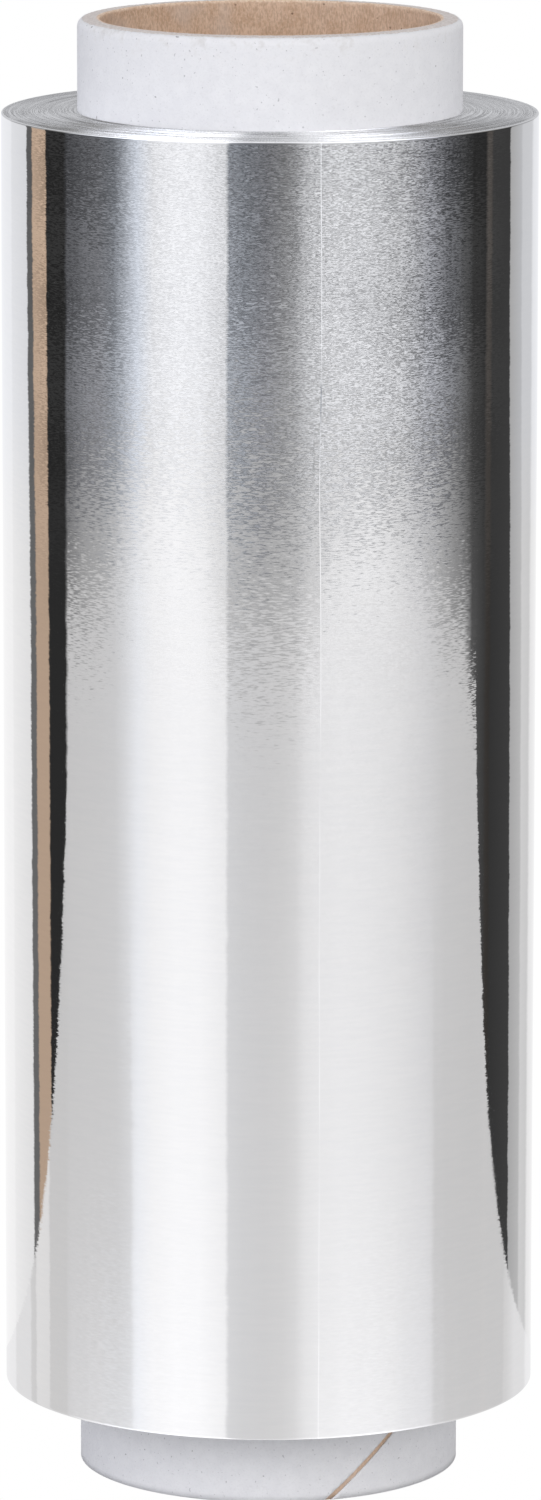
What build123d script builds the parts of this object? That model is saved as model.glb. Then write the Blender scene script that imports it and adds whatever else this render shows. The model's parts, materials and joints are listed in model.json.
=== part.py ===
"""Aluminium foil roll: foil wound on a paper core, standing on the core's lower end.

Millimetres. +Z is the roll's axis, and the origin is the centre of the core's lower end.
"""

from build123d import *
import os

# Paper core: a spiral-wound board tube with a white paper strip as its outer ply.
bore_diameter = 76.0
board_wall = 4.6
cover_thickness = 0.4
core_bottom_overhang = 19.0  # core standing proud of the foil
core_top_overhang = 21.0
worn_rim_round = 1.0         # outer corner of the upper end, rubbed round by handling
bore_lip_round = 0.4         # inner corner of the upper end
cover_rim_setback = 0.9      # bare board above the white strip at the upper end

# The white strip is wound edge to edge and leaves an open helical seam.
seam_pitch = 221.0           # rise of the seam in one turn, right-handed
seam_gap = 1.1               # between the strip's two edges, square to the seam
seam_start_angle = -71.9     # where the seam leaves the lower end, from +X, degrees
seam_overrun = 3.0           # the seam cut runs past both ends of the core
seam_cut_relief = 0.3        # the seam cut runs past both faces of the strip

# Foil: all turns have the same width, so what stands proud at one end is sunk at the other.
winding_diameter = 120.0
winding_width = 290.0
winding_telescope = 0.4      # the innermost turn stands this much higher than the outermost
winding_rim_round = 0.25     # outer corners of both end faces
winding_clearance = 0.05     # between the core and the innermost turn

bore_radius = bore_diameter / 2
board_radius = bore_radius + board_wall
core_radius = board_radius + cover_thickness
winding_radius = winding_diameter / 2
winding_inner_radius = core_radius + winding_clearance
winding_bottom = core_bottom_overhang
winding_top = winding_bottom + winding_width
core_length = winding_top + core_top_overhang
cover_length = core_length - cover_rim_setback

os.makedirs("parts", exist_ok=True)


# Board tube: its plies are glued into one wall, and its bore takes a spindle.
with BuildPart() as board_tube:
    with BuildSketch():
        Circle(board_radius)
        Circle(bore_radius, mode=Mode.SUBTRACT)
    extrude(amount=core_length)
    upper_corners = board_tube.faces().sort_by(Axis.Z)[-1].edges().sort_by(SortBy.RADIUS)
    fillet(upper_corners[-1], radius=worn_rim_round)
    upper_corners = board_tube.faces().sort_by(Axis.Z)[-1].edges().sort_by(SortBy.RADIUS)
    fillet(upper_corners[0], radius=bore_lip_round)

board_tube.part.label = "board_tube"
export_step(board_tube.part, "parts/board_tube.step")


# White cover ply: a thin sleeve, opened along one helix into a single wound strip.
seam_lead_in = 360 * seam_overrun / seam_pitch

with BuildLine(Plane.XY.offset(-seam_overrun)) as seam_line:
    Helix(
        pitch=seam_pitch,
        height=core_length + 2 * seam_overrun,
        radius=(board_radius + core_radius) / 2,
    )
seam = seam_line.line.rotate(Axis.Z, seam_start_angle - seam_lead_in)
seam_start = seam @ 0
seam_section = Plane(
    origin=seam_start,
    x_dir=(seam_start.X, seam_start.Y, 0),
    z_dir=seam % 0,
)

with BuildPart() as white_cover_ply:
    with BuildSketch():
        Circle(core_radius)
        Circle(board_radius, mode=Mode.SUBTRACT)
    extrude(amount=cover_length)
    with BuildSketch(seam_section):
        Rectangle(cover_thickness + 2 * seam_cut_relief, seam_gap)
    sweep(path=seam, is_frenet=True, mode=Mode.SUBTRACT)

white_cover_ply.part.label = "white_cover_ply"
export_step(white_cover_ply.part, "parts/white_cover_ply.step")


# Foil winding: the turns lie tight on each other and are one solid.
with BuildPart() as foil_winding:
    with BuildSketch(Plane.XZ):
        with BuildLine():
            Polyline(
                (winding_inner_radius, winding_bottom + winding_telescope),
                (winding_radius, winding_bottom),
                (winding_radius, winding_top),
                (winding_inner_radius, winding_top + winding_telescope),
                close=True,
            )
        make_face()
    revolve(axis=Axis.Z)
    outer_rims = foil_winding.edges().filter_by(GeomType.CIRCLE).group_by(SortBy.RADIUS)[-1]
    fillet(outer_rims, radius=winding_rim_round)

foil_winding.part.label = "foil_winding"
export_step(foil_winding.part, "parts/foil_winding.step")
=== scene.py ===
"""Looks of a foil roll: bright foil wound on a white-faced paper core.

Metres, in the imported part's own frame: +Z is the roll's axis, and z = 0 is the core's lower end.
"""
import json
import math

import bmesh
import bpy
import numpy as np
from mathutils import Euler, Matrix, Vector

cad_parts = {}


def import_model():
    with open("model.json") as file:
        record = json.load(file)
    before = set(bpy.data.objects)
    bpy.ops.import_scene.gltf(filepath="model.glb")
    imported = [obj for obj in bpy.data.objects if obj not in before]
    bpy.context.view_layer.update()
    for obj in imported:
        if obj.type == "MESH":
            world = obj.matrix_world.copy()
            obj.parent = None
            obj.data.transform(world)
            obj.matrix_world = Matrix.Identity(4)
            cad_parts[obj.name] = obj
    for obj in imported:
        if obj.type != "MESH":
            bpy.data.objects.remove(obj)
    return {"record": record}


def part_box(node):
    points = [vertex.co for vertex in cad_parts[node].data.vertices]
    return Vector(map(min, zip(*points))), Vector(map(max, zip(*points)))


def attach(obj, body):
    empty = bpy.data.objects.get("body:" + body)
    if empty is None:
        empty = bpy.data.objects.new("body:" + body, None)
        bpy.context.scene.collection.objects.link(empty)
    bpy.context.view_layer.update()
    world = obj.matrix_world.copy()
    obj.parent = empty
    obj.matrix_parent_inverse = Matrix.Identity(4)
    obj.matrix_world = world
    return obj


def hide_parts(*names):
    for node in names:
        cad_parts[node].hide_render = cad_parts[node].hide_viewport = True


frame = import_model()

MM = 0.001
TAU = 2 * math.pi
FRONT = math.radians(-90)  # the direction of -Y, as an angle from +X

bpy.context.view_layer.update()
foil_low, foil_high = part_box("foil_winding")
board_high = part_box("board_tube")[1]
ply_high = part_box("white_cover_ply")[1]
mounts = {mount["name"]: mount for mount in frame["record"]["mounts"]}

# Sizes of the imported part. The mesh corners lie on the true circles, so the widest one is the radius.
FOIL_RADIUS = max(foil_high.x, foil_high.y)
BOARD_RADIUS = max(board_high.x, board_high.y)
CORE_RADIUS = max(ply_high.x, ply_high.y)
BORE_RADIUS = mounts["bore"]["dims"]["r_mm"] * MM
WINDING_CLEARANCE = 0.05 * MM
FOIL_INNER_RADIUS = CORE_RADIUS + WINDING_CLEARANCE
TELESCOPE = 0.4 * MM
FOIL_BOTTOM = foil_low.z
FOIL_TOP = foil_high.z - TELESCOPE
CORE_TOP = board_high.z
COVER_TOP = ply_high.z
WORN_ROUND = 2.0 * MM  # outer corner of the worn upper end, rounder than the CAD's

# The open seam of the white strip, as in the part's source.
SEAM_PITCH = 221 * MM
SEAM_GAP = 1.1 * MM
SEAM_START = math.radians(-71.9)


# ---------------------------------------------------------------- mesh building


def waves(seed, count, shortest, longest, turns):
    """A smooth random field over the angle and one length, as a sum of sine waves.

    It repeats after a full turn. turns is the most waves in one turn, and shortest and
    longest are the wavelengths along the other way.
    """
    rng = np.random.default_rng(seed)
    around = rng.integers(0, turns + 1, count)
    along = TAU / rng.uniform(shortest, longest, count)
    along *= rng.choice((-1, 1), count)
    phase = rng.uniform(0, TAU, count)
    size = rng.normal(0, 1, count) / math.sqrt(count)

    def field(angle, length):
        total = np.zeros(np.broadcast(angle, length).shape)
        for a, b, p, s in zip(around, along, phase, size):
            total += s * np.sin(a * angle + b * length + p)
        return total

    return field


def add_object(name, data):
    made = bpy.data.objects.new(name, data)
    bpy.context.scene.collection.objects.link(made)
    return made


def new_piece(name, points, faces, node, material):
    """A smooth-shaded mesh that stands for one node and takes one material."""
    mesh = bpy.data.meshes.new(name)
    mesh.from_pydata(points.tolist(), [], faces)
    mesh.validate()
    mesh.shade_smooth()
    mesh.materials.append(material)
    piece = add_object(name, mesh)
    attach(piece, "root")
    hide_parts(node)
    return piece


def stacked(profile):
    """The radius and the height of a profile's points, one row a point, from its runs of both."""
    radius = np.concatenate([run[0] for run in profile])[:, None]
    height = np.concatenate([run[1] for run in profile])[:, None]
    return radius, height


def ring(radius, height, angle):
    """Points and faces of a closed ring. radius and height have one row for each profile point.

    The profile runs up the outside, in over the top, down the inside and out under the bottom.
    """
    rows, columns = radius.shape
    points = np.stack((radius * np.cos(angle), radius * np.sin(angle), height), axis=-1)
    index = np.arange(rows * columns).reshape(rows, columns)
    right = np.roll(index, -1, axis=1)
    above = np.roll(index, -1, axis=0)
    above_right = np.roll(right, -1, axis=0)
    faces = np.stack((index, right, above_right, above), axis=-1).reshape(-1, 4)
    return points.reshape(-1, 3), faces.tolist()


# ---------------------------------------------------------------- materials


class Tree:
    """Short calls that build one node tree."""

    def __init__(self, tree):
        self.tree = tree
        tree.nodes.clear()

    def node(self, kind, inputs=None, **settings):
        made = self.tree.nodes.new(kind)
        for key, value in settings.items():
            setattr(made, key, value)
        for key, value in (inputs or {}).items():
            self.feed(made.inputs[key], value)
        return made

    def feed(self, socket, value):
        if isinstance(value, bpy.types.NodeSocket):
            self.tree.links.new(value, socket)
        else:
            socket.default_value = value

    def maths(self, operation, a, b=0.0, c=0.0):
        return self.node("ShaderNodeMath", {0: a, 1: b, 2: c}, operation=operation).outputs[0]

    def vector(self, operation, a, b=(0.0, 0.0, 0.0), scale=None):
        made = self.node("ShaderNodeVectorMath", {0: a, 1: b}, operation=operation)
        if scale is not None:
            self.feed(made.inputs["Scale"], scale)
        return made.outputs["Value" if operation == "LENGTH" else "Vector"]

    def noise(self, vector, scale=1.0, detail=2.0, roughness=0.5):
        """A noise value of about 0 to 1, with its middle at 0.5."""
        inputs = {"Vector": vector, "Scale": scale, "Detail": detail, "Roughness": roughness}
        return self.node("ShaderNodeTexNoise", inputs).outputs["Fac"]

    def spread(self, value, low, high, to_low=0.0, to_high=1.0):
        """value between low and high, moved smoothly to between to_low and to_high."""
        inputs = {0: value, 1: low, 2: high, 3: to_low, 4: to_high}
        made = self.node("ShaderNodeMapRange", inputs, interpolation_type="SMOOTHSTEP")
        return made.outputs["Result"]

    def mix(self, share, a, b):
        """Colour a, with that share of it given over to colour b."""
        return self.node("ShaderNodeMix", {0: share, 6: a, 7: b}, data_type="RGBA").outputs[2]

    def finish(self, shader, kind="ShaderNodeOutputMaterial"):
        output = self.node(kind)
        self.tree.links.new(shader, output.inputs["Surface"])


def new_material(name):
    material = bpy.data.materials.new(name)
    material.use_nodes = True
    return material, Tree(material.node_tree)


def matt_surface(t, colour, roughness, specular, rise, depth, strength):
    """A matt surface with that colour and a fine relief, at most depth deep."""
    bump = t.node("ShaderNodeBump", {"Height": rise, "Distance": depth, "Strength": strength})
    shader = t.node("ShaderNodeBsdfPrincipled", {
        "Base Color": colour,
        "Roughness": roughness,
        "Specular IOR Level": specular,
        "Normal": bump.outputs[0],
    })
    t.finish(shader.outputs[0])


def foil_material():
    """Bright rolled foil: streaks run round the roll, and the turns' edges ring its ends."""
    material, t = new_material("rolled_foil")
    place = t.node("ShaderNodeTexCoord").outputs["Object"]
    parts = t.node("ShaderNodeSeparateXYZ", {0: place}).outputs
    flat = t.node("ShaderNodeCombineXYZ", {"X": parts["X"], "Y": parts["Y"]}).outputs[0]
    outward = t.vector("NORMALIZE", flat)
    radius = t.vector("LENGTH", flat)
    across = t.maths("ADD", parts["Z"], radius)
    on_wall = t.spread(radius, FOIL_RADIUS - 0.6 * MM, FOIL_RADIUS - 0.3 * MM)

    def streaks(length, width, detail, shift):
        """Noise drawn out round the roll, in streaks of that length and width."""
        turned = t.vector("SCALE", outward, scale=FOIL_RADIUS / length)
        level = t.maths("MULTIPLY_ADD", across, 1 / width, shift)
        rise = t.node("ShaderNodeCombineXYZ", {"Z": level}).outputs[0]
        return t.noise(t.vector("ADD", turned, rise), detail=detail)

    def lean(noise, most):
        """A slope from a noise value: most is the slope where the noise is 0 or 1."""
        return t.maths("MULTIPLY", t.maths("SUBTRACT", noise, 0.5), 2 * most)

    fine = streaks(1.6 * MM, 0.24 * MM, 1.0, 0.0)
    broad = streaks(8 * MM, 0.9 * MM, 2.0, 31.0)
    sideways = streaks(1.2 * MM, 0.5 * MM, 1.0, 57.0)
    drift = streaks(12 * MM, 5 * MM, 2.0, 83.0)
    turns = streaks(22 * MM, 0.2 * MM, 1.0, 11.0)
    nicks = streaks(0.8 * MM, 0.5 * MM, 1.0, 23.0)
    bands = streaks(60 * MM, 0.9 * MM, 2.0, 41.0)

    # The wall leans up and down a little. On the ends, the turns' edges face outward more than up.
    fine_slope, broad_slope = 0.032, 0.002
    least_turn_slope, most_turn_slope = -0.2, 2.8
    nick_slope, band_slope = 0.4, 2.5
    sideways_slope, drift_slope = 0.004, 0.008
    up_lean = t.maths("ADD", lean(fine, fine_slope), lean(broad, broad_slope))
    up_lean = t.maths("MULTIPLY", up_lean, on_wall)
    turn_lean = t.spread(turns, 0.35, 0.7, least_turn_slope, most_turn_slope)
    out_lean = t.maths("ADD", turn_lean, lean(nicks, nick_slope))
    out_lean = t.maths("ADD", out_lean, lean(bands, band_slope))
    out_lean = t.maths("MULTIPLY", out_lean, t.maths("SUBTRACT", 1.0, on_wall))
    side_lean = t.maths("ADD", lean(sideways, sideways_slope), lean(drift, drift_slope))
    tangent = t.vector("CROSS_PRODUCT", (0.0, 0.0, 1.0), outward)
    normal = t.node("ShaderNodeNewGeometry").outputs["Normal"]
    normal = t.vector("ADD", normal, t.node("ShaderNodeCombineXYZ", {"Z": up_lean}).outputs[0])
    normal = t.vector("ADD", normal, t.vector("SCALE", outward, scale=out_lean))
    normal = t.vector("ADD", normal, t.vector("SCALE", tangent, scale=side_lean))
    normal = t.vector("NORMALIZE", normal)

    wall_rough = t.spread(fine, 0.3, 0.7, 0.025, 0.036)
    end_rough = t.spread(nicks, 0.3, 0.7, 0.16, 0.3)
    rough = t.node("ShaderNodeMix", {0: on_wall, 2: end_rough, 3: wall_rough}).outputs[0]
    wall_dim, wall_bright = (0.914, 0.914, 0.917, 1.0), (0.93, 0.928, 0.928, 1.0)
    # On the ends, the dim grey is painted shade for the light lost in the gaps between the turns; the
    # bands between it and the bright grey vary at random.
    end_shaded_grey, end_bright = (0.62, 0.62, 0.625, 1.0), (0.95, 0.95, 0.955, 1.0)
    wall_colour = t.mix(t.spread(broad, 0.3, 0.7), wall_dim, wall_bright)
    end_grey_and_shade = t.mix(t.spread(bands, 0.3, 0.7), end_shaded_grey, end_bright)
    shader = t.node("ShaderNodeBsdfPrincipled", {
        "Base Color": t.mix(on_wall, end_grey_and_shade, wall_colour),
        "Metallic": 1.0,
        "Roughness": rough,
        "Anisotropic": 1.0,
        "Anisotropic Rotation": 0.25,
        "Normal": normal,
        "Tangent": t.node("ShaderNodeTangent", direction_type="RADIAL", axis="Z").outputs[0],
    })
    t.finish(shader.outputs[0])
    return material


def board_material():
    """Raw core board: brown and mottled inside, rubbed pale on its upper end."""
    material, t = new_material("core_board")
    place = t.node("ShaderNodeTexCoord").outputs["Object"]
    parts = t.node("ShaderNodeSeparateXYZ", {0: place}).outputs
    flat = t.node("ShaderNodeCombineXYZ", {"X": parts["X"], "Y": parts["Y"]}).outputs[0]
    radius = t.vector("LENGTH", flat)
    mottle = t.noise(place, 1500.0, 3.0, 0.6)
    patch = t.noise(place, 220.0, 3.0, 0.55)
    grey_patch = t.noise(place, 60.0, 2.0, 0.5)
    fleck = t.noise(t.vector("ADD", place, (3.1, 0.0, 0.0)), 700.0, 1.0, 0.5)
    steep = t.vector("MULTIPLY", place, (1.0, 1.0, 0.35))
    fibre = t.noise(steep, 2600.0, 2.0, 0.6)

    # The raw board, from its broad patches to its dark flecks.
    brown = (0.62, 0.43, 0.30, 1.0)
    light_brown = (0.74, 0.545, 0.41, 1.0)
    pale_brown = (0.84, 0.66, 0.52, 1.0)
    fibre_brown = (0.42, 0.28, 0.19, 1.0)
    grey_brown = (0.62, 0.54, 0.49, 1.0)
    dark_brown = (0.16, 0.09, 0.06, 1.0)
    shade = t.mix(t.spread(patch, 0.3, 0.7), brown, light_brown)
    shade = t.mix(t.spread(mottle, 0.35, 0.7, 0.0, 0.5), shade, pale_brown)
    shade = t.mix(t.spread(fibre, 0.35, 0.6, 0.5, 0.0), shade, fibre_brown)
    shade = t.mix(t.spread(grey_patch, 0.55, 0.72, 0.0, 0.45), shade, grey_brown)
    shade = t.mix(t.spread(fleck, 0.72, 0.8, 0.0, 0.8), shade, dark_brown)

    # The upper end is rubbed grey, but its inner edge is still brown.
    rubbed_dark, rubbed_pale = (0.62, 0.56, 0.53, 1.0), (0.80, 0.75, 0.73, 1.0)
    lip_dark, lip_pale = (0.66, 0.47, 0.34, 1.0), (0.86, 0.69, 0.55, 1.0)
    rubbed = t.mix(t.spread(mottle, 0.3, 0.7), rubbed_dark, rubbed_pale)
    lip = t.mix(t.spread(mottle, 0.3, 0.7), lip_dark, lip_pale)
    inner_edge = t.spread(radius, BORE_RADIUS + 0.3 * MM, BORE_RADIUS + 1.0 * MM)
    rubbed = t.mix(inner_edge, lip, rubbed)
    upper_end = t.spread(parts["Z"], CORE_TOP - 0.9 * MM, CORE_TOP - 0.3 * MM)
    outside = t.spread(radius, BORE_RADIUS + 1.0 * MM, BORE_RADIUS + 2.0 * MM)
    rim = t.spread(parts["Z"], CORE_TOP - 2.6 * MM, CORE_TOP - 2.2 * MM)
    upper_end = t.maths("MAXIMUM", upper_end, t.maths("MULTIPLY", outside, rim))
    shade = t.mix(upper_end, shade, rubbed)

    rise = t.maths("MULTIPLY_ADD", fibre, 0.6, mottle)
    roughness = t.spread(mottle, 0.3, 0.7, 0.85, 0.95)
    matt_surface(t, shade, roughness, specular=0.25, rise=rise, depth=0.12 * MM, strength=0.7)
    return material


def white_paper_material():
    """Matt white recycled paper with sparse grey flecks, soiled a little along its upper edge."""
    material, t = new_material("white_paper")
    place = t.node("ShaderNodeTexCoord").outputs["Object"]
    height = t.node("ShaderNodeSeparateXYZ", {0: place}).outputs["Z"]
    cloud = t.noise(place, 330.0, 3.0, 0.6)
    tooth = t.noise(place, 1900.0, 3.0, 0.65)
    large_fleck = t.noise(place, 900.0, 0.0, 0.5)
    small_fleck = t.noise(t.vector("ADD", place, (1.7, 0.0, 0.0)), 1900.0, 0.0, 0.5)
    cool_white = (0.815, 0.815, 0.838, 1.0)
    bright_white = (0.85, 0.85, 0.87, 1.0)
    hollow_shade_grey = (0.6, 0.6, 0.61, 1.0)
    large_grey = (0.28, 0.27, 0.28, 1.0)
    small_grey = (0.4, 0.4, 0.42, 1.0)
    soil_grey = (0.6, 0.58, 0.57, 1.0)
    shade = t.mix(t.spread(cloud, 0.3, 0.7), cool_white, bright_white)
    # The grey where the tooth is low is painted shade in the paper's hollows.
    shade = t.mix(t.spread(tooth, 0.5, 0.25, 0.0, 0.25), shade, hollow_shade_grey)
    shade = t.mix(t.spread(large_fleck, 0.84, 0.89, 0.0, 0.7), shade, large_grey)
    shade = t.mix(t.spread(small_fleck, 0.80, 0.83, 0.0, 0.6), shade, small_grey)
    near_top = t.spread(height, COVER_TOP - 6 * MM, COVER_TOP)
    soil = t.maths("MULTIPLY", near_top, t.spread(cloud, 0.5, 0.75, 0.0, 0.5))
    shade = t.mix(soil, shade, soil_grey)
    rise = t.maths("MULTIPLY_ADD", cloud, 1.5, tooth)
    roughness = t.spread(tooth, 0.3, 0.7, 0.8, 0.92)
    matt_surface(t, shade, roughness, specular=0.3, rise=rise, depth=0.06 * MM, strength=0.6)
    return material


# ---------------------------------------------------------------- pieces


def foil_piece():
    """The winding: a slightly uneven wall with the foil's loose end, and ringed end faces."""
    columns = 510
    wall_rows, top_rows, bottom_rows, corner_rows = 48, 100, 20, 5
    rim_round = 0.3 * MM
    width = FOIL_RADIUS - FOIL_INNER_RADIUS

    # The foil's end lies along the wall a little right of the front. More columns follow it there:
    # the steep face that it makes is lip_face wide, and the turn sinks back over lip_fade.
    end_angle = FRONT + math.radians(10.6)
    lip_rise, lip_face, lip_fade = 0.13 * MM, 0.21 * MM, 4 * MM
    near = np.array((-0.4, -0.01, 0, 0.01, 0.1, 0.2, 0.21, 0.22, 0.4, 0.8, 1.4, 2.2, 3.2))
    near = near * MM / FOIL_RADIUS
    spare = TAU - near[-1]
    angle = end_angle + np.concatenate((near, near[-1] + np.arange(1, columns) * spare / columns))

    corner = np.linspace(0, math.pi / 2, corner_rows)
    wall = np.concatenate((
        (FOIL_BOTTOM + rim_round,),
        np.linspace(FOIL_BOTTOM + 2 * rim_round, FOIL_TOP - 2 * rim_round, wall_rows),
        (FOIL_TOP - rim_round,),
    ))
    rim_radius = FOIL_RADIUS - rim_round
    profile = (
        (np.full(len(wall), FOIL_RADIUS), wall),
        (rim_radius + rim_round * np.cos(corner[1:]), FOIL_TOP - rim_round * (1 - np.sin(corner[1:]))),
        (np.linspace(rim_radius, FOIL_INNER_RADIUS, top_rows + 1)[1:], np.full(top_rows, FOIL_TOP)),
        (
            np.linspace(FOIL_INNER_RADIUS, rim_radius, bottom_rows + 1)[:-1],
            np.full(bottom_rows, FOIL_BOTTOM),
        ),
        (
            (rim_radius + rim_round * np.sin(corner))[:-1],
            (FOIL_BOTTOM + rim_round * (1 - np.cos(corner)))[:-1],
        ),
    )
    radius, height = stacked(profile)
    inward = (FOIL_RADIUS - radius) / width
    on_wall = radius > FOIL_RADIUS - 2 * rim_round

    # The wall sways, and the loose end wanders from its line and stands up more in some places.
    sway = 0.025 * MM * waves(3, 14, 45 * MM, 160 * MM, 7)(angle, height)
    wander = 0.12 * MM / FOIL_RADIUS * waves(5, 6, 30 * MM, 120 * MM, 0)(0 * angle, height)
    along = (angle - end_angle) * FOIL_RADIUS
    rising, sinking = np.clip(along / lip_face, 0, 1), np.exp((lip_face - along) / lip_fade)
    lip = lip_rise * np.where(along < lip_face, rising, sinking)
    lip = lip * (0.85 + 0.3 * waves(6, 6, 15 * MM, 90 * MM, 0)(0 * angle, height))

    # The turns' edges make fine rings and broader steps, which end short of the rim.
    depth = FOIL_RADIUS - radius
    rings = 0.04 * MM * waves(8, 50, 0.5 * MM, 2.2 * MM, 2)(angle, depth)
    steps = 0.05 * MM * waves(9, 12, 2.5 * MM, 9 * MM, 1)(angle, depth)
    clear = np.clip(depth / (1.0 * MM), 0, 1)

    tall = height + TELESCOPE * inward + (rings + steps) * clear
    wide = radius + np.where(on_wall, sway + lip, 0)
    turned = angle + np.where(on_wall, wander, 0)
    points, faces = ring(wide, tall, turned)
    return new_piece("foil_turns", points, faces, "foil_winding", foil_material())


def board_piece(material):
    """The board tube, with a rubbed and slightly furred upper end."""
    columns = 720
    angle = np.arange(columns) * TAU / columns
    worn = WORN_ROUND - (CORE_RADIUS - BOARD_RADIUS)
    lip_round = 0.4 * MM
    corner = np.linspace(0, math.pi / 2, 9)
    outer = np.concatenate((np.linspace(0, 20 * MM, 8), np.linspace(300 * MM, CORE_TOP - worn, 8)))
    top = np.linspace(BOARD_RADIUS - worn, BORE_RADIUS + lip_round, 12)[1:-1]
    inner = np.concatenate((
        np.linspace(CORE_TOP - lip_round, CORE_TOP - 24 * MM, 40)[1:],
        np.linspace(CORE_TOP - 30 * MM, 0, 24),
    ))
    foot = np.linspace(BORE_RADIUS, BOARD_RADIUS, 6)[1:-1]
    profile = (
        (np.full(len(outer), BOARD_RADIUS), outer),
        (
            BOARD_RADIUS - worn * (1 - np.cos(corner[1:])),
            CORE_TOP - worn * (1 - np.sin(corner[1:])),
        ),
        (top, np.full(len(top), CORE_TOP)),
        (
            BORE_RADIUS + lip_round * (1 - np.sin(corner)),
            CORE_TOP - lip_round * (1 - np.cos(corner)),
        ),
        (np.full(len(inner), BORE_RADIUS), inner),
        (foot, np.zeros(len(foot))),
    )
    radius, height = stacked(profile)

    # The rubbed end is uneven, most of all at its inner edge. Nothing rises above the CAD's end.
    end_reach, edge_reach = 1.2 * MM, 1.0 * MM
    upper_end = np.clip((height - CORE_TOP + end_reach) / end_reach, 0, 1)
    inner_edge = np.clip(1 - (radius - BORE_RADIUS) / edge_reach, 0, 1)
    ragged = waves(21, 40, 0.6 * MM, 5 * MM, 300)(angle, radius + height)
    worn_off = waves(22, 10, 4 * MM, 20 * MM, 9)(angle, radius + height)
    tall = height - upper_end * np.abs(0.05 * MM * ragged + 0.06 * MM * worn_off)
    wide = radius + upper_end * inner_edge * 0.07 * MM * ragged

    # Shallow dents in the bore fade out over its last 2 mm.
    dents = 0.03 * MM * waves(23, 24, 4 * MM, 30 * MM, 40)(angle, height)
    in_bore = np.clip((CORE_TOP - height) / (2 * MM), 0, 1) * (radius < BORE_RADIUS + 0.1 * MM)
    wide = wide + in_bore * dents

    points, faces = ring(wide, tall, angle)
    return new_piece("core_board_tube", points, faces, "board_tube", material)


def cover_piece(material):
    """The white strip: a thin paper sleeve, rolled over the worn end and open along its helical seam.

    low and high are the strip's two edges. It starts one turn below the core's lower end, where
    both are cut off at the end, and so it runs out to a tip at either end of the core.
    """
    columns_per_turn = 400
    turns_below = 1.0
    turns_above = COVER_TOP / SEAM_PITCH
    columns = int((turns_below + turns_above) * columns_per_turn)
    turned = np.linspace(-turns_below, turns_above, columns)
    angle = SEAM_START + TAU * turned
    half_gap = SEAM_GAP / 2 / math.cos(math.atan2(SEAM_PITCH, TAU * CORE_RADIUS))
    fray = 0.06 * MM * waves(31, 20, 1 * MM, 3 * MM, 250)(angle, 0 * angle)
    low = np.clip(SEAM_PITCH * turned + half_gap + fray, 0, COVER_TOP)
    high = np.clip(SEAM_PITCH * (turned + 1) - half_gap + fray, 0, COVER_TOP)
    shoulder = CORE_TOP - WORN_ROUND
    outer = np.concatenate((
        np.linspace(0, 20 * MM, 14),
        (80 * MM, 160 * MM, 240 * MM),
        np.linspace(305 * MM, shoulder, 12),
        np.linspace(shoulder, COVER_TOP, 12)[1:],
    ))
    inner = np.array((COVER_TOP, shoulder + 0.8 * MM, shoulder, 200 * MM, 100 * MM, 0))
    levels = np.concatenate((outer, inner))
    thickness = CORE_RADIUS - BOARD_RADIUS
    depth = np.concatenate((np.zeros(len(outer)), np.full(len(inner), thickness)))
    height = np.clip(levels[:, None], low, high)

    # The upper edge rolls in with the worn end. Its own edge is a little uneven.
    full_bend = math.radians(62)
    over = np.clip(height - shoulder, 0, None) / (COVER_TOP - shoulder)
    bend = full_bend * over
    edge = 0.08 * MM * waves(32, 24, 1 * MM, 3 * MM, 160)(angle, 0 * angle)
    bulk = WORN_ROUND - depth[:, None]
    wide = CORE_RADIUS - WORN_ROUND + bulk * np.cos(bend)
    tall = np.where(over > 0, shoulder + bulk * np.sin(bend) + edge * over, height)
    points = np.stack((wide * np.cos(angle), wide * np.sin(angle), tall), axis=-1)

    rows = len(levels)
    index = np.arange(rows * columns).reshape(rows, columns)
    above = np.roll(index, -1, axis=0)
    faces = np.stack((index[:, :-1], index[:, 1:], above[:, 1:], above[:, :-1]), axis=-1)
    piece = new_piece(
        "white_cover_strip", points.reshape(-1, 3), faces.reshape(-1, 4).tolist(),
        "white_cover_ply", material,
    )
    weld(piece.data)
    return piece


def weld(mesh):
    """Joins the points that meet where the strip runs out, and drops the flat flap past each tip.

    The welded strip is closed, so a flap is a face with a free edge.
    """
    reach = 0.0005 * MM
    made = bmesh.new()
    made.from_mesh(mesh)
    bmesh.ops.remove_doubles(made, verts=made.verts, dist=reach)
    bmesh.ops.dissolve_degenerate(made, edges=made.edges, dist=reach)
    flaps = [face for face in made.faces if any(edge.is_boundary for edge in face.edges)]
    bmesh.ops.delete(made, geom=flaps, context="FACES")
    made.to_mesh(mesh)
    made.free()
    mesh.shade_smooth()


# ---------------------------------------------------------------- studio


def show_to(thing, camera=False, diffuse=False, glossy=False):
    """Which rays see a stage object. None casts a shadow."""
    thing.visible_camera = camera
    thing.visible_diffuse = diffuse
    thing.visible_glossy = glossy
    thing.visible_shadow = False
    thing.visible_transmission = False
    thing.visible_volume_scatter = False


def stage_mesh(name, points, faces, material):
    mesh = bpy.data.meshes.new(name)
    mesh.from_pydata(points, [], faces)
    mesh.materials.append(material)
    thing = add_object(name, mesh)
    return thing


def floor():
    """A plain white floor. It lights the object as matt card would."""
    material, t = new_material("pale_floor")
    matt = t.node("ShaderNodeBsdfDiffuse", {"Color": (0.6, 0.6, 0.6, 1)})
    white = t.node("ShaderNodeEmission", {"Color": (1, 1, 1, 1), "Strength": 1.0})
    seen = t.node("ShaderNodeLightPath").outputs["Is Camera Ray"]
    both = t.node("ShaderNodeMixShader", {0: seen, 1: matt.outputs[0], 2: white.outputs[0]})
    t.finish(both.outputs[0])
    half = 40.0
    corners = [(-half, -half, 0), (half, -half, 0), (half, half, 0), (-half, half, 0)]
    thing = stage_mesh("studio_floor", corners, [(0, 1, 2, 3)], material)
    show_to(thing, camera=True, diffuse=True)


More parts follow.
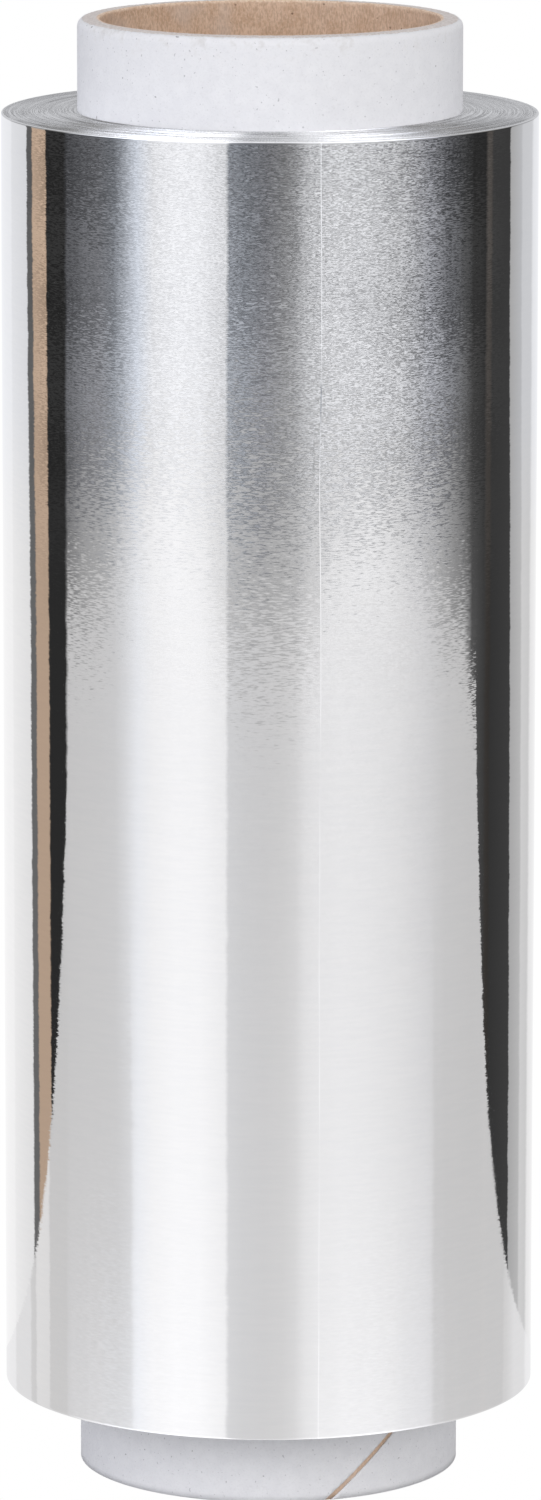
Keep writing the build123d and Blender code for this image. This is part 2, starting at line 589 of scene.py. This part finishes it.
def table_top():
    """The glossy white table that the foil reflects. Only mirror rays see it.

    It glows for itself, a little less farther out, and the rest is its own gloss.
    """
    gloss_share = 0.45
    outline = (
        (-1.2, -0.5), (-0.98, -1.0), (-0.6, -1.17), (0.6, -1.17), (0.98, -1.0), (1.2, -0.5),
        (1.2, -0.1), (1.03, 0.148), (0.4, 0.104), (-1.2, 0.076),
    )
    material, t = new_material("white_table")
    place = t.node("ShaderNodeTexCoord").outputs["Object"]
    level = t.spread(t.vector("LENGTH", place), 0.2, 1.1, 0.6, 0.56)
    glow = t.node("ShaderNodeEmission", {"Color": (1.0, 0.99, 0.992, 1), "Strength": level})
    gloss = t.node("ShaderNodeBsdfGlossy", {"Color": (1, 1, 1, 1), "Roughness": 0.1})
    nothing = t.node("ShaderNodeEmission", {"Strength": 0.0})
    shine = t.node("ShaderNodeMixShader", {0: gloss_share, 1: nothing.outputs[0], 2: gloss.outputs[0]})
    both = t.node("ShaderNodeAddShader", {0: glow.outputs[0], 1: shine.outputs[0]})
    t.finish(both.outputs[0])
    material.cycles.emission_sampling = "NONE"
    corners = [(x, y, 0) for x, y in outline]
    thing = stage_mesh("studio_table", corners, [tuple(range(len(corners)))], material)
    show_to(thing, glossy=True)


def surround():
    """The upright cards that the foil mirrors, in one ring round the roll. Only mirror rays see it.

    Each stop has an azimuth in degrees, 0 towards -Y and 90 towards +X, and how bright the ring
    is there at three levels: low down, level with the roll's upper half, and well above the roll.
    """
    distance = 1.7
    clutter_pitch = 0.056
    in_front = (-96, 92)  # azimuths between which the lowest rows match the table
    behind = 125          # past this azimuth either way, the high level starts lower down
    heights = (-1.5, -0.1, -0.06, 0.0, 0.1, 0.2, 0.32, 0.9, 3.2)
    white = (1.0, 0.995, 1.0)
    pale = (0.975, 0.985, 1.02)
    cool = (0.95, 0.97, 1.05)
    blue = (0.92, 0.975, 1.08)
    tan = (1.31, 0.965, 0.72)
    brown = (1.07, 0.97, 0.9)
    stops = (
        # azimuth, tint, low, middle, high
        (-180, pale, 0.97, 0.93, 0.62),
        (-146, pale, 0.93, 0.88, 0.62),
        (-144, pale, 0.88, 0.8, 0.4),
        (-128, pale, 0.8, 0.74, 0.4),
        (-127, white, 0.14, 0.11, 0.15),
        (-122.9, white, 0.14, 0.11, 0.15),
        (-121.9, tan, 0.36, 0.4, 0.3),
        (-111, tan, 0.36, 0.36, 0.3),
        (-110, white, 0.025, 0.03, 0.35),
        (-97.5, white, 0.025, 0.03, 0.35),
        (-95.5, cool, 0.22, 0.07, 0.9),
        (-85, cool, 0.38, 0.105, 1.2),
        (-77, cool, 0.45, 0.125, 1.5),
        (-69, blue, 0.55, 0.17, 1.7),
        (-64, blue, 0.65, 0.36, 1.6),
        (-61.5, blue, 0.7, 0.49, 1.6),
        (-59.5, blue, 0.74, 0.6, 1.7),
        (-57.5, blue, 0.78, 0.7, 1.7),
        (-50, pale, 0.87, 0.83, 1.7),
        (-40, pale, 0.93, 0.94, 1.6),
        (-29.5, pale, 0.88, 0.92, 1.5),
        (-18.5, pale, 0.72, 0.74, 1.2),
        (-17, blue, 0.57, 0.28, 0.35),
        (-10.6, blue, 0.52, 0.2, 0.2),
        (-2, cool, 0.47, 0.17, 0.2),
        (6, pale, 0.5, 0.21, 0.25),
        (11, pale, 0.53, 0.3, 0.4),
        (15, pale, 0.58, 0.5, 0.7),
        (19, pale, 0.63, 0.58, 0.9),
        (31, pale, 0.73, 0.67, 1.3),
        (42, pale, 0.72, 0.62, 1.6),
        (56, pale, 0.68, 0.49, 1.7),
        (71, cool, 0.51, 0.26, 1.3),
        (74, cool, 0.5, 0.21, 1.2),
        (76, cool, 0.46, 0.175, 1.1),
        (81, cool, 0.38, 0.095, 0.8),
        (90, pale, 0.23, 0.055, 0.4),
        (96, white, 0.09, 0.028, 0.3),
        (104, white, 0.05, 0.026, 0.3),
        (106, brown, 0.04, 0.085, 0.3),
        (108, brown, 0.035, 0.08, 0.3),
        (109.5, white, 0.037, 0.05, 0.3),
        (122, white, 0.05, 0.045, 0.3),
        (123, white, 0.42, 0.42, 0.4),
        (134, pale, 0.5, 0.52, 0.4),
        (136, pale, 0.65, 0.62, 0.4),
        (150, pale, 0.62, 0.64, 0.4),
        (154, pale, 0.83, 0.83, 0.62),
        (180, pale, 0.97, 0.93, 0.62),
    )

    def slide(azimuth):
        """The outermost cards lean: how far they shift with each metre down, in degrees."""
        edges = (-144, -128, -122, -110, -97, 109, 118, 136, 150)
        return np.interp(azimuth, edges, (0, 18, 18, 9, 0, 0, 18, 18, 0))

    def sharpness(azimuth):
        """The bright cards have harder edges higher up, where the table mirrors them."""
        edges = (-110, -66, -61, -60, 64, 71, 74, 76, 90)
        return np.interp(azimuth, edges, (1, 0.45, 0.5, 1, 1, 1.25, 1.2, 0.2, 0.3))

    def clutter_contrast(azimuth, middle):
        """How strongly the room's clutter shows: not on the outermost cards, less on bright ones."""
        edges = (-128, -110, -60, -40, 5, 19, 70, 97, 123)
        share = np.interp(azimuth, edges, (0, 0.5, 0.55, 1.1, 0.62, 1.25, 1.15, 0.33, 0))
        return min(0.95, share * max(0.0, 1.15 - middle))

    # Low down, the cards in front fade into the table. The fourth part of each colour is the clutter.
    points, glows = [], []
    for azimuth, tint, low, middle, high in stops:
        contrast = clutter_contrast(azimuth, middle)
        below = 0.55 + 0.4 * middle if in_front[0] < azimuth < in_front[1] else low
        above = middle * sharpness(azimuth) if abs(azimuth) < behind else high
        change = low - middle
        # One level for each height, from the lowest up.
        levels = (
            below, below, middle + 0.82 * change, middle + 0.46 * change, middle, middle,
            above, high, 1.5 * high,
        )
        for height, level in zip(heights, levels):
            plain = height < 0 and tint in (pale, cool, blue) or height > 0.3 and tint == tan
            shown = white if plain else tint
            drop = np.clip(0.1 - height, 0.06, 0.6)
            turn = math.radians(azimuth + slide(azimuth) * drop)
            points.append((distance * math.sin(turn), -distance * math.cos(turn), height))
            fade = np.interp(height, (-0.08, 0.0, 0.2, 0.32), (0, 1, 1, 0))
            glows.append([level * part for part in shown] + [contrast * fade])
    rows = len(heights)
    faces = []
    for column in range(len(stops) - 1):
        for row in range(rows - 1):
            corner = column * rows + row
            faces.append((corner, corner + rows, corner + rows + 1, corner + 1))
    material, t = new_material("studio_cards")
    glow = t.node("ShaderNodeAttribute", attribute_name="glow").outputs
    place = t.node("ShaderNodeTexCoord").outputs["Object"]
    height = t.node("ShaderNodeSeparateXYZ", {0: place}).outputs["Z"]
    clutter = t.maths("SINE", t.maths("MULTIPLY", height, TAU / clutter_pitch))
    strength = t.maths("MULTIPLY_ADD", clutter, glow["Alpha"], 1.0)
    t.finish(t.node("ShaderNodeEmission", {"Color": glow["Color"], "Strength": strength}).outputs[0])
    material.cycles.emission_sampling = "NONE"
    thing = stage_mesh("studio_surround", points, faces, material)
    layer = thing.data.color_attributes.new("glow", "FLOAT_COLOR", "POINT")
    for item, colour in zip(layer.data, glows):
        item.color = colour
    show_to(thing, glossy=True)


def lamp(name, place, power, colour):
    """A soft square lamp, aimed at the roll's middle, that the foil doesn't mirror."""
    aim = (0, 0, 0.2)
    light = bpy.data.lights.new(name, "AREA")
    light.size = 1.2
    light.energy = power
    light.color = colour
    thing = add_object(name, light)
    thing.location = place
    direction = np.array(aim, float) - np.array(place, float)
    yaw = math.atan2(direction[1], direction[0]) - math.pi / 2
    pitch = math.atan2(direction[2], math.hypot(direction[0], direction[1]))
    thing.rotation_euler = Euler((math.pi / 2 + pitch, 0, yaw))
    thing.visible_camera = False
    thing.visible_glossy = False


def world():
    """White behind the floor, even soft light on matt surfaces, and a plain pale room for mirrors."""
    made = bpy.data.worlds.new("studio_world")
    bpy.context.scene.world = made
    made.use_nodes = True
    t = Tree(made.node_tree)
    path = t.node("ShaderNodeLightPath").outputs
    soft = t.node("ShaderNodeBackground", {"Color": (0.98, 0.985, 1.0, 1), "Strength": 0.55})
    white = t.node("ShaderNodeBackground", {"Color": (1, 1, 1, 1), "Strength": 1.0})
    room = t.node("ShaderNodeBackground", {"Color": (0.96, 0.97, 1.0, 1), "Strength": 1.0})
    shaded = soft.outputs[0]
    for ray, background in (("Is Glossy Ray", room), ("Is Camera Ray", white)):
        both = t.node("ShaderNodeMixShader", {0: path[ray], 1: shaded, 2: background.outputs[0]})
        shaded = both.outputs[0]
    t.finish(shaded, "ShaderNodeOutputWorld")


def camera():
    """A long lens from a little above, as in the product shot."""
    distance, rise = 1.9597, 0.2228
    pitch, roll, yaw = math.radians(-10.63), math.radians(-0.07), math.radians(0.005)
    data = bpy.data.cameras.new("camera")
    data.lens = 211.65
    data.sensor_width = 36.0
    thing = add_object("camera", data)
    thing.location = (0, -distance, FOIL_TOP + rise)
    thing.rotation_mode = "XYZ"
    thing.rotation_euler = Euler((math.pi / 2 + pitch, roll, yaw))
    data.clip_start, data.clip_end = 0.05, 200.0
    bpy.context.scene.camera = thing


foil_piece()
board_piece(board_material())
cover_piece(white_paper_material())

floor()
table_top()
surround()
world()
lamp("key_front", (-0.1, -2.2, 1.2), 20.5, (1.0, 0.99, 0.99))
lamp("fill_left", (-2.0, -0.9, 0.7), 10, (0.85, 0.88, 1.0))
lamp("fill_right", (2.0, -0.9, 0.7), 7.5, (1.0, 0.985, 0.99))
lamp("fill_back", (0.6, 2.2, 1.0), 9, (1.0, 0.99, 0.99))
camera()
bpy.context.scene.view_settings.view_transform = "Standard"
